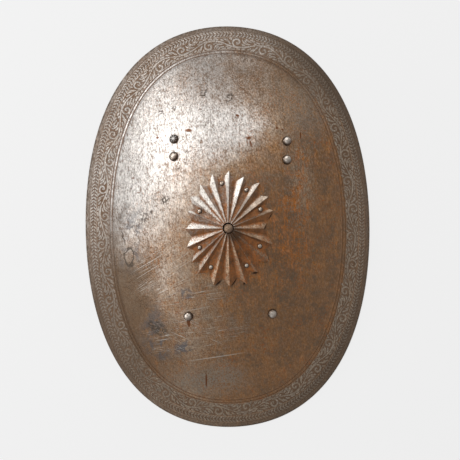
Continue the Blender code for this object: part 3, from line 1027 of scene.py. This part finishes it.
def patina_group():
    """Steel that goes from worn bright metal to brown patina and rust."""
    tree, at, out = new_group(
        "old_steel", "ShaderNodeTree",
        {
            "Coords": "vector", "Brown": "float", "Rust": "float", "Pitting": "float", "Contrast": "float",
            "Bright Steel": "colour", "Brown Patina": "colour", "Rust Bloom": "colour"
        },
        {"Colour": "colour", "Roughness": "float", "Height": "float"}
    )
    coords = at["Coords"]
    broad = noise_of(coords, 14.0, 5.0, 0.6)
    patch = noise_of(coords, 60.0, 6.0, 0.7, 0.3)
    grain = noise_of(coords, 520.0, 4.0, 0.7)
    speck = noise_of(coords, 620.0, 3.0, 0.55)
    brushed = noise_of(turned_coords(coords, 0, (0.0035, 0.045)), 1.0, 4.0, 0.6)
    drift = (broad - 0.5) * 0.6 + (patch - 0.5) * 0.9 + (grain - 0.5) * 1.7 + (brushed - 0.5) * 0.5
    brown = (at["Brown"] + drift).clear(-0.12, 0.98)
    rust = (patch - 0.5) * 1.8 + (grain - 0.5) * 2.2 + (brushed - 0.5) * 1.6
    rust = (at["Rust"] + rust).clear(0.4, 1.0)
    tone = ((patch - 0.5) * 2.4 + (broad - 0.5) * 1.5 + (grain - 0.5) * 1.8).clear(-0.6, 0.4)
    dark_patina = blend_of(0.6, at["Brown Patina"], (0.07, 0.05, 0.04))
    patina = blend_of(tone, dark_patina, at["Brown Patina"])
    colour = blend_of(brown, at["Bright Steel"], patina)
    colour = blend_of(rust * 0.8, colour, at["Rust Bloom"])
    blots = noise_of(coords, 130.0, 6.0, 0.72).clear(0.58, 0.72)
    pits = (speck.clear(0.52, 0.68) * patch.clear(0.36, 0.58) + blots * 0.8).below(1.0)
    colour = blend_of(pits * at["Pitting"], colour, (0.11, 0.06, 0.038))
    grained = turned_coords(coords, 12, (1.0, 2.4))
    fleck = noise_of(grained, 520.0, 2.0, 0.5) - 0.5
    mottle = noise_of(grained, 170.0, 3.0, 0.6) - 0.5
    varied = fleck * 1.7 + mottle * 0.9 + (brushed - 0.5) * 0.8
    lively = place(
        tree, "ShaderNodeHueSaturation",
        {
            "Saturation": 1 + (mottle * 0.5 - fleck * 0.3) * at["Contrast"],
            "Value": 1 + varied * at["Contrast"], "Color": colour
        }
    )
    flecks = varied.clear(-0.06, -0.45) * at["Contrast"] * 0.55
    speckled = blend_of(flecks.below(0.8), Wire(lively.outputs[0]), (0.30, 0.17, 0.09))
    feed(out.inputs["Colour"], speckled)
    rough = 0.36 + brown * 0.12 + rust * 0.15 + (grain - 0.5) * 0.4 + pits * at["Pitting"] * 0.2
    feed(out.inputs["Roughness"], rough)
    feed(out.inputs["Height"], (grain - 0.5) * 0.5 - pits * 0.7 - rust * 0.3)
    return tree


def scratch_group():
    """Fine parallel scratches in one direction, where a mask lets them show."""
    tree, at, out = new_group(
        "scratches", "ShaderNodeTree", {"Coords": "vector", "Thickness": "float"}, {"Lines": "float"}
    )
    level = noise_of(at["Coords"], 1.0, 1.0, 0.5)
    broken = noise_of(at["Coords"], 1.7, 2.0, 0.5).clear(0.34, 0.52)
    feed(out.inputs["Lines"], (level - 0.5).math("ABSOLUTE").clear(at["Thickness"], 0.0) * broken)
    return tree


def mark_group():
    """A soft-edged oval mark on the face: 1 in its middle, 0 outside."""
    tree, at, out = new_group(
        "mark", "ShaderNodeTree",
        {
            "Coords": "vector", "Centre": "vector", "Half Length": "float", "Half Width": "float",
            "Angle": "float", "Softness": "float"
        },
        {"Mask": "float"}
    )
    x, y, _ = parted(at["Coords"])
    cx, cy, _ = parted(at["Centre"])
    dx, dy = x - cx, y - cy
    along = (dx * at["Angle"].cos() + dy * at["Angle"].sin()) / at["Half Length"]
    across = (dy * at["Angle"].cos() - dx * at["Angle"].sin()) / at["Half Width"]
    away = (along * along + across * across).root()
    feed(out.inputs["Mask"], away.clear(1.0, 1 - at["Softness"]))
    return tree


def start_material(name):
    """A new material, and the object's own coordinates in its tree."""
    material = bpy.data.materials.new(name)
    material.use_nodes = True
    return material, Wire(place(material.node_tree, "ShaderNodeTexCoord").outputs["Object"])


def finish_material(material, colour, metallic, roughness, height, relief=0.0003):
    shader = material.node_tree.nodes["Principled BSDF"]
    feed(shader.inputs["Base Color"], colour)
    feed(shader.inputs["Metallic"], metallic)
    feed(shader.inputs["Roughness"], roughness)
    values = {"Height": height, "Distance": relief, "Strength": 0.7}
    feed(shader.inputs["Normal"], made(height.tree, "ShaderNodeBump", values))
    return material


def old_steel(groups, coords, brown, rust, pitting, contrast, bright, patina, bloom):
    """The colour, roughness and height of old steel."""
    values = {"Coords": coords, "Brown": brown, "Rust": rust, "Pitting": pitting, "Contrast": contrast}
    colours = {"Bright Steel": bright, "Brown Patina": patina, "Rust Bloom": bloom}
    values.update({name: rgba(colour) for name, colour in colours.items()})
    steel = use_group(groups["patina"], values)
    return steel["Colour"], steel["Roughness"], steel["Height"]


def layer(coords, name):
    """A layer of the mesh, read in the tree that the coordinates are in."""
    return Wire(place(coords.tree, "ShaderNodeAttribute", attribute_name=name).outputs["Fac"])


def overlaid(masks, whole=None):
    """Masks laid over one another, which stay at most 1."""
    for mask in masks:
        whole = mask if whole is None else (whole + mask).below(1.0)
    return whole


def marker(groups, coords):
    """What puts soft oval marks in a material's tree."""

    def mark(centre, half_length, half_width, degrees, softness, at=coords):
        values = {"Coords": at, "Centre": (*centre, 0.0), "Angle": math.radians(degrees)}
        values.update({"Half Length": half_length, "Half Width": half_width, "Softness": softness})
        return use_group(groups["mark"], values)["Mask"]

    return mark


def painted_shade_of(mark):
    """Painted shade where the light falls off: the plate's top, its lower left and the left part of its
    border.
    """
    low_left = mark((-0.140, -0.140), 0.170, 0.080, 112, 0.9)
    top = mark((0.040, 0.220), 0.160, 0.085, -8, 0.9)
    left_edge = mark((-0.165, -0.080), 0.130, 0.050, 97, 0.9)
    low_field = mark((-0.122, -0.080), 0.075, 0.045, 95, 0.9)
    low_edge = mark((-0.156, -0.165), 0.110, 0.042, 118, 0.9)
    upper_right = mark((0.128, 0.208), 0.110, 0.042, -44, 0.9)
    left_border = mark((-0.160, 0.0), 0.055, 0.020, 90, 0.9)
    edges = left_edge * 0.5 + low_edge * 0.6 + upper_right * 0.55 + left_border * 0.4
    return (low_left * 0.5 + top * 0.58 + low_field * 0.45 + edges).below(0.75)


def rim_shade(x, y):
    """Where the rim turns from the light: all round but at the upper left."""
    across, along = x / HALF_WIDTH, y / HALF_LENGTH
    rimward = (across * across + along * along).root().clear(0.93, 1.0)
    return rimward * (across + along * 0.1).clear(-0.6, 0.7, 0.15, 1.0)


def plate_material(groups):
    material, coords = start_material("plate_steel_skin")
    x, y, _ = parted(coords)
    mark = marker(groups, coords)
    ragged = noise_of(coords, 26.0, 5.0, 0.6)
    shaken = joined(x + (ragged - 0.5) * 0.05, y + (ragged - 0.5) * 0.04, 0.0)
    # Bright at the upper left, browner towards the lower right and round the rosette
    slope = x * 11.7 - 0.12 + (0.41 - y * 7.8).above(-1.3).below(0.6)
    base = slope.clear(-2.2, 1.5, 0.02, 0.92)
    warm = mark((0.022, -0.018), 0.115, 0.085, 90, 0.7, shaken)
    streaked = mark((0.095, 0.010), 0.160, 0.034, 90, 0.8, shaken)
    top_grey = mark((0.020, 0.215), 0.130, 0.075, 0, 0.9, shaken)
    low_left = mark((-0.140, -0.140), 0.170, 0.080, 112, 0.9, shaken)
    rusty_left = mark((-0.115, -0.050), 0.045, 0.026, 70, 0.9, shaken)
    clean_top = mark((-0.005, 0.132), 0.100, 0.056, 0, 0.7, shaken)
    pale_left = mark((-0.120, 0.085), 0.095, 0.040, 78, 0.9, shaken)
    pale_right = mark((0.105, 0.045), 0.085, 0.034, 92, 0.9, shaken)
    etched = layer(coords, "etched")
    edge = layer(coords, "edge")
    border = layer(coords, "border")
    lining = layer(coords, "lining")
    open_field = (1 - border) * (1 - lining)
    brown_level = base + warm * 0.3 + top_grey * 0.3 + low_left * 0.6 - border * (base - 0.45) * 0.6
    brown_level = brown_level - clean_top * 0.34 - pale_right * 0.3 - pale_left * 0.3
    rust_level = 0.04 + (warm * 0.42 + streaked * 0.46 + base * 0.15) * open_field + edge * 0.2
    grey_right = mark((0.100, 0.165), 0.075, 0.050, -50, 0.8, shaken)
    rust_level = rust_level - clean_top * 0.2 + rusty_left * 0.4 + low_left * 0.15
    rust_level = rust_level - grey_right * 0.32
    brown_level = brown_level + rusty_left * 0.35
    tanned = (base - clean_top * 0.3 + low_left * 0.5).clear(0.05, 0.65)
    bright = blend_of(tanned, (0.77, 0.725, 0.685), (0.56, 0.415, 0.29))
    contrast = 1.05 + border * 1.0 + tanned * (y.clear(0.0, 0.16) * 0.6 - 0.4)
    colour, rough, height = old_steel(
        groups, coords, brown=brown_level * (1 - lining) + lining * 0.7, rust=rust_level,
        pitting=0.4 + (1 - base) * 0.55 * open_field, contrast=contrast * (1 - lining * 0.5), bright=bright,
        patina=(0.33, 0.18, 0.09), bloom=(0.46, 0.180, 0.055)
    )
    blue = mark((-0.135, -0.025), 0.075, 0.020, 84, 0.9, shaken)
    blue = overlaid((mark(*row, 0.8, shaken) for row in BLUE_PATCHES), blue)
    stains = (noise_of(coords, 85.0, 5.0, 0.7, 0.5) + (ragged - 0.5) * 0.6).clear(0.44, 0.57)
    colour = blend_of(blue * stains * 0.8, colour, (0.125, 0.130, 0.148))
    tan = blend_of(base, (0.46, 0.37, 0.295), (0.33, 0.24, 0.17))
    colour = blend_of(border * 0.5, colour, tan)
    # Painted shade: darker brown where the light falls off, at the top, the lower left and the left of the
    # border
    painted_shade = painted_shade_of(mark)
    colour = blend_of(painted_shade, colour, (0.13, 0.09, 0.06))
    greyed = noise_of(coords, 40.0, 6.0, 0.75).clear(0.50, 0.64) * base * open_field
    colour = blend_of(greyed * 0.5, colour, (0.125, 0.105, 0.082))
    reddened = noise_of(coords, 33.0, 4.0, 0.6).clear(0.44, 0.62)
    flecked = noise_of(coords, 330.0, 4.0, 0.7).clear(0.56, 0.64)
    reddened = reddened * flecked * open_field * base.clear(0.1, 0.6)
    colour = blend_of(reddened * 0.75, colour, (0.40, 0.125, 0.035))
    grey_foot = mark((-0.030, -0.215), 0.090, 0.032, 0, 0.9, shaken) * open_field
    grainy = noise_of(coords, 470.0, 3.0, 0.65).clear(0.38, 0.62)
    colour = blend_of(grey_foot * grainy * 0.85, colour, (0.33, 0.285, 0.235))
    colour = blend_of(grey_right * grainy * 0.7 * open_field, colour, (0.30, 0.25, 0.20))
    grimy = noise_of(coords, 420.0, 3.0, 0.65).clear(0.46, 0.60) * border
    colour = blend_of(grimy * 0.4, colour, (0.12, 0.075, 0.045))
    worn = noise_of(coords, 17.0, 4.0, 0.6).clear(0.36, 0.62, 0.95, 0.6)
    ground = blend_of(base, (0.21, 0.12, 0.068), (0.175, 0.105, 0.062))
    colour = blend_of(etched * border * worn * (1 - painted_shade * 0.4), colour, ground)
    grooves = etched * (1 - border) * (0.9 - painted_shade * 0.8) * (1 - base * 0.5)
    colour = blend_of(grooves, colour, (0.17, 0.085, 0.042))
    # Painted shadow: the plate in the rosette's hole, round the stud, is painted near black
    painted_hole_shadow = mark(ROSETTE_AT, 0.0105, 0.0105, 0, 0.3)
    colour = blend_of(painted_hole_shadow * (1 - lining), colour, (0.022, 0.016, 0.012))
    colour = blend_of(lining * 0.6, colour, (0.13, 0.09, 0.065))
    # Painted shadows: dark lines on the plate beside the rosette's lifted edges
    painted_edge_shadows = overlaid(
        mark(centre, reach, EDGE_SHADOW_HALF_WIDTH, degrees, 0.7) for centre, reach, degrees in PAINTED_EDGE_SHADOWS
    )
    colour = blend_of(painted_edge_shadows * (1 - lining) * 0.9, colour, (0.035, 0.02, 0.014))
    # Clusters of dark specks, and a stain with a dark outline at the left
    speckle = noise_of(coords, 330.0, 3.0, 0.6).clear(0.45, 0.54)
    clusters = overlaid(mark(*row, 0.5) for row in SPECK_CLUSTERS)
    crooked = noise_of(coords, 95.0, 2.0, 0.5) - 0.5
    crooked = joined(x + crooked * 0.012, y - crooked * 0.012, 0.0)
    outline = mark((-0.1383, -0.0401), 0.0180, 0.0088, 84, 0.9, crooked) - 0.3
    outline = outline.math("ABSOLUTE").clear(0.24, 0.06)
    outline = overlaid((mark(*row, 0.7, crooked) for row in DARK_LINES), outline)
    smudge = mark((-0.1430, 0.0220), 0.0200, 0.0075, 88, 0.9, shaken) * 0.5
    dark_marks = (clusters * speckle + outline + smudge).below(1.0)
    colour = blend_of(dark_marks * (1 - lining) * 0.85, colour, (0.085, 0.066, 0.052))
    # Scratches: two bundles at the lower left and long ones across below

    def bundle(centre, half_length, half_width, degrees, thickness):
        run = turned_coords(coords, degrees, (0.130, 0.0026))
        found = use_group(groups["scratches"], {"Coords": run, "Thickness": thickness})["Lines"]
        return found * mark(centre, half_length, half_width, degrees, 0.5)

    lines = overlaid(bundle(*row) for row in SCRATCH_BUNDLES)
    lines = (lines + mark((-0.019, -0.182), 0.050, 0.0009, 8, 0.6) * 0.8).below(1.0)
    lines = lines * (1 - lining)
    colour = blend_of(lines * 0.75, colour, (0.66, 0.61, 0.55))
    spots = overlaid(mark(*row, 0.45) for row in RED_SPOTS)
    spots = spots * (1 - lining)
    colour = blend_of(spots * 0.95, colour, (0.17, 0.062, 0.025))
    mottled = noise_of(coords, 240.0, 3.0, 0.6).clear(0.40, 0.58, 0.25, 1.0)
    colour = blend_of(edge * mottled * 0.75, colour, (0.10, 0.075, 0.055))
    colour = blend_of(rim_shade(x, y) * 0.5, colour, (0.085, 0.062, 0.045))
    metallic = 0.92 - border * 0.2 - lining * 0.2
    rough = rough + border * 0.06 + etched * 0.08 + lining * 0.1 - lines * 0.05
    etching = noise_of(coords, 900.0, 2.0, 0.5)
    height = height + lines * 0.25 - spots * 0.5 + etched * (etching - 0.5) * 0.8
    return finish_material(material, colour, metallic, rough, height)


def simple_steel(name, groups, brown, rust, relief, brim, dull, metallic, bright, patina, bloom):
    """A smaller piece's finish."""
    material, coords = start_material(name)
    level = noise_of(coords, 60.0, 3.0) * 0.3 + (brown - 0.15)
    # Darker towards the brim and in cut grooves: dirt and painted shade
    brim_dirt_and_shade = layer(coords, "brim").clear(0.55, 0.97)
    rusty = noise_of(coords, 90.0, 2.0) * 0.2 + (rust - 0.1)
    colour, rough, height = old_steel(
        groups, coords, level + brim_dirt_and_shade * brim, rusty, 0.3, 0.3, bright, patina, bloom
    )
    colour = blend_of(brim_dirt_and_shade * 0.85, colour, (0.04, 0.03, 0.024))
    # Painted shade: the side of the head turned from the key light is darker
    shade = layer(coords, "away").clear(-0.25, 0.75)
    colour = blend_of(shade * 0.75, colour, (0.09, 0.05, 0.032))
    return finish_material(material, colour, metallic, rough * dull, height, relief)


def stroke_material(groups):
    """The raised strokes of the border: tan on top, brown where the flank meets the ground."""
    material, coords = start_material("raised_strokes")
    x, y, _ = parted(coords)
    # Painted shade: strokes grow darker towards the lower right, away from the light
    shaded = (x * 2.2 - y * 1.8).clear(-0.5, 0.1)
    painted_shade = painted_shade_of(marker(groups, coords))
    colour, rough, height = old_steel(
        groups, coords, brown=0.3 + shaded * 0.25, rust=0.05, pitting=0.5, contrast=0.8,
        bright=blend_of(shaded, (0.70, 0.65, 0.60), (0.48, 0.40, 0.32)),
        patina=blend_of(shaded, (0.44, 0.34, 0.26), (0.27, 0.20, 0.14)), bloom=(0.40, 0.17, 0.07)
    )
    foot = layer(coords, "stroke_top").clear(1.0, 0.5)
    # Painted shade where the light falls off, as on the plate
    colour = blend_of(painted_shade * 0.85, colour, (0.16, 0.115, 0.08))
    colour = blend_of(foot * (0.9 - painted_shade * 0.5 - shaded * 0.2), colour, (0.12, 0.065, 0.035))
    colour = blend_of(rim_shade(x, y) * 0.5, colour, (0.105, 0.08, 0.06))
    return finish_material(material, colour, 0.75, rough + 0.06, height)


def rosette_material(groups):
    material, coords = start_material("rosette_steel_skin")
    x, y, _ = parted(coords)
    crest = layer(coords, "crest")
    out = layer(coords, "out")
    low = (y * -1).clear(-0.07, 0.08)
    right = (x - y * 0.4).clear(-0.05, 0.06)
    # side: how far each flank turns from the key light; painted shade makes those flanks browner, rustier
    # and darker
    side = layer(coords, "side")
    level = 0.50 - crest.clear(0.0, 0.5) * 0.38 + low * 0.28 + right * 0.48 + side * 0.45
    # Painted shadow of the stud, cast on the petals to the lower right of its hole
    dx, dy = x - ROSETTE_AT[0] - 0.009, y - ROSETTE_AT[1] + 0.009
    shade = (dx * dx + dy * dy).root().clear(0.017, 0.004)
    worn = (low + right * 1.4).clear(0.3, 1.9)
    colour, rough, height = old_steel(
        groups, coords, brown=level,
        rust=0.40 - crest.clear(0.1, 0.9) * 0.30 + low * 0.28 + right * 0.2 + side * 0.26, pitting=0.5,
        contrast=0.6 + side * 0.3, bright=blend_of(worn, (0.92, 0.86, 0.79), (0.52, 0.37, 0.25)),
        patina=(0.29, 0.15, 0.075), bloom=(0.46, 0.17, 0.05)
    )
    valley = crest.clear(0.35, 0.0) * out.clear(0.05, 0.3)
    reddish = noise_of(coords, 120.0, 4.0, 0.65).clear(0.38, 0.62)
    in_valley = blend_of(reddish, (0.17, 0.075, 0.03), (0.36, 0.145, 0.05))
    colour = blend_of(valley * 0.7, colour, in_valley)
    # Painted shade: flanks turned from the key light are painted dark rust-brown
    painted_flank_shade = side.clear(0.05, 0.6)
    shaded_flank_colour = blend_of(reddish, (0.14, 0.07, 0.035), (0.27, 0.12, 0.048))
    colour = blend_of(painted_flank_shade * 0.65, colour, shaded_flank_colour)
    flecks = noise_of(coords, 380.0, 3.0, 0.65).clear(0.55, 0.64) * low.clear(0.2, 0.8)
    colour = blend_of(flecks * 0.7, colour, (0.42, 0.13, 0.035))
    grimy = noise_of(coords, 260.0, 4.0, 0.7).clear(0.52, 0.66)
    colour = blend_of(grimy * 0.45, colour, (0.22, 0.125, 0.075))
    # Painted shadow of the stud
    colour = blend_of(shade * 0.75, colour, (0.07, 0.05, 0.035))
    return finish_material(material, colour, 0.8, rough + 0.02, height)


def dress(obj, slot, *nodes):
    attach(obj, "root")
    if nodes:
        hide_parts(*nodes)


def build_piece(name, tree, mesh, inputs, degrees, slot, *nodes):
    """A piece that a tree grows from a mesh."""
    piece = grown(name, tree, inputs, new_object("source", mesh))
    smooth(piece, degrees)
    dress(piece, slot, *nodes)


def build_border(tree, material):
    """The scroll of foliage and the row of leaves outside it."""
    scroll_way = band_length((BAND_LINE + BAND_GROOVE) / 2)
    row_way = band_length((EDGE_LINE + BAND_LINE) / 2)
    scroll = foliage_unit(scroll_way[0] / SCROLL_WAVES)
    row_count = round(row_way[0] / LEAF_PITCH)
    for name, (length, even), count, mesh, wear, seed in (
        ("border_foliage", scroll_way, SCROLL_WAVES, scroll, 0.55, 0.3),
        ("border_leaf_row", row_way, row_count, leaf_row_unit(), 0.6, 1.7)
    ):
        inputs = {**even, "Count": count, "Unit Length": length / count, "Hand Wobble": HAND_WOBBLE}
        inputs.update({"Wear": wear, "Seed": seed, "Material": material})
        build_piece(name, tree, mesh, inputs, 60, "plate_steel")


def build_rivets(name, tree, material, sizes, sides, under, places, spread, seed, nodes):
    """A set of like rivets; under is what lies between their heads and the plate."""
    seat = GAP + under
    profile = rivet_profile(PLATE_THICKNESS + seat, **sizes)
    rivet = new_object("rivet", turned("rivet", profile, sides))
    inputs = {"Rivet": rivet, "Seat": seat, "Size Spread": spread, "Seed": seed, "Material": material}
    points = mesh_of("places", [(*at, 0) for at in places], [])
    build_piece(name, tree, points, inputs, 50, "rivet_steel", *nodes)
    bpy.data.objects.remove(rivet)


def build_on_dome(name, mesh, at, material, slot, node):
    """A piece that stands square to the dome."""
    point, normal = dome_points(*(np.array([value]) for value in (*at, GAP)))
    turn = Vector((0, 0, 1)).rotation_difference(Vector(normal[0])).to_matrix().to_4x4()
    turn.translation = Vector(point[0])
    mesh.transform(turn)
    piece = new_object(name, mesh)
    piece.data.materials.append(material)
    smooth(piece, 50)
    dress(piece, slot, node)


def build_shield(materials):
    dome_group = on_dome_group(dome_height_group())
    wrap = wrap_group(dome_group)
    inputs = {"Field Start": FIELD_START, "Unevenness": HAMMERED, "Hammer Marks": 5.0}
    inputs["Material"] = materials["plate"]
    build_piece("plate_skin", plate_tree(wrap), plate_strip(), inputs, 50, "plate_steel", "shield_plate")
    build_border(border_tree(wrap), materials["strokes"])

    rosette = new_object("rosette_sheet", rosette_mesh())
    rosette.data.materials.append(materials["rosette"])
    smooth(rosette, 28)
    dress(rosette, "rosette_steel", "rosette")

    rivets = rivet_tree(dome_group)
    places = STRAP_RIVETS.values()
    build_rivets(
        "strap_rivets", rivets, materials["rivet"], STRAP_RIVET, 40, 0.0, places, 0.015, 4, STRAP_RIVETS
    )
    places = [rosette_plan(*notch(petal), share) for petal, share in ROSETTE_RIVETS.values()]
    build_rivets(
        "rosette_rivets", rivets, materials["small_rivet"], ROSETTE_RIVET, 28, ROSETTE_SHEET + GAP, places,
        0.03, 9, ROSETTE_RIVETS
    )
    daisy = turned("daisy", rivet_profile(PLATE_THICKNESS + GAP, **STRAP_RIVET), 64, daisy_shape)
    build_on_dome(
        "daisy_rivet", daisy, DAISY_RIVET_AT, materials["daisy"], "daisy_steel", "strap_rivet_daisy"
    )
    stump = turned("stud", stud_profile(), 56, stud_shape)
    stud_at = (ROSETTE_AT[0] + STUD_SHIFT, ROSETTE_AT[1] - STUD_SHIFT)
    build_on_dome("stud", stump, stud_at, materials["stud"], "stud_iron", "spike_stud")


def build_stage():
    corners = [(-FLOOR_REACH, -FLOOR_REACH, 0), (FLOOR_REACH, -FLOOR_REACH, 0)]
    corners += [(FLOOR_REACH, FLOOR_REACH, 0), (-FLOOR_REACH, FLOOR_REACH, 0)]
    floor = new_object("floor", mesh_of("floor", corners, [(0, 1, 2, 3)]))
    material = bpy.data.materials.new("pale_floor")
    material.use_nodes = True
    inputs = material.node_tree.nodes["Principled BSDF"].inputs
    inputs["Base Color"].default_value = (0.2, 0.2, 0.2, 1)
    inputs["Roughness"].default_value = 1.0
    inputs["Specular IOR Level"].default_value = 0.0
    inputs["Emission Color"].default_value = (1, 1, 1, 1)
    inputs["Emission Strength"].default_value = FLOOR_GLOW
    floor.data.materials.append(material)


def add_light(name, direction, distance, size, power):
    data = bpy.data.lights.new(name, "AREA")
    data.shape = "RECTANGLE"
    data.size, data.size_y = size
    data.energy = power
    light = bpy.data.objects.new(name, data)
    way = Vector(direction).normalized()
    light.location = way * distance + Vector((0, 0, AIM_HEIGHT))
    light.rotation_euler = way.to_track_quat("Z", "Y").to_euler()
    bpy.context.scene.collection.objects.link(light)


def build_light():
    for name, panel in LIGHTS.items():
        add_light(name, *panel)
    world = bpy.data.worlds.new("studio")
    world.use_nodes = True
    background = world.node_tree.nodes["Background"]
    background.inputs["Color"].default_value = (1, 1, 1, 1)
    background.inputs["Strength"].default_value = WORLD_GLOW
    bpy.context.scene.world = world


def build_camera():
    data = bpy.data.cameras.new("camera")
    data.sensor_width = SENSOR_WIDTH
    data.lens = PIXELS_PER_METRE * CAMERA_DISTANCE * SENSOR_WIDTH / PICTURE_WIDTH
    data.clip_end = 50
    camera = bpy.data.objects.new("camera", data)
    camera.location = (*PICTURE_CENTRE, CAMERA_DISTANCE)
    camera.rotation_euler = (0, 0, CAMERA_ROLL)
    bpy.context.scene.collection.objects.link(camera)
    bpy.context.scene.camera = camera


def main():
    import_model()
    scene = bpy.context.scene
    scene.view_settings.view_transform = "Standard"
    scene.view_settings.look = "None"
    groups = {"patina": patina_group(), "scratches": scratch_group(), "mark": mark_group()}
    materials = {name: simple_steel(f"{name}_skin", groups, **look) for name, look in SMALL_STEELS.items()}
    materials["plate"] = plate_material(groups)
    materials["strokes"] = stroke_material(groups)
    materials["rosette"] = rosette_material(groups)
    build_shield(materials)
    build_stage()
    build_light()
    build_camera()


main()
